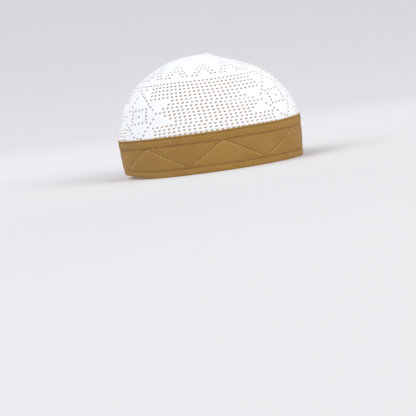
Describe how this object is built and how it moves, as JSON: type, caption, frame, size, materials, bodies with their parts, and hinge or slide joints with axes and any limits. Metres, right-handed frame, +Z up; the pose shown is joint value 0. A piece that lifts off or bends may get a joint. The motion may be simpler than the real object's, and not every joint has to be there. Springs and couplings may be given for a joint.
{
  "type": "knitted cap",
  "caption": "Soft brimless cap: a domed crown knitted with pierced star and mesh patterns, gathered to a small tip, on an upright cloth band quilted with a zigzag.",
  "frame": {"origin": "middle of the rim, at the height of its lowest edge, where the cap rests on a surface", "axes": "+Z up through the crown, +X towards the wearer's front along the longer side of the head opening, +Y to the wearer's left"},
  "size_m": [0.1912, 0.1628, 0.1191],
  "materials": {
    "white_knit": "white cotton knit with open eyelets",
    "mustard_cloth": "matt mustard-brown woven cloth, quilted"
  },
  "bodies": {
    "root": {"crown": "white_knit", "band": "mustard_cloth"}
  },
  "joints": []
}
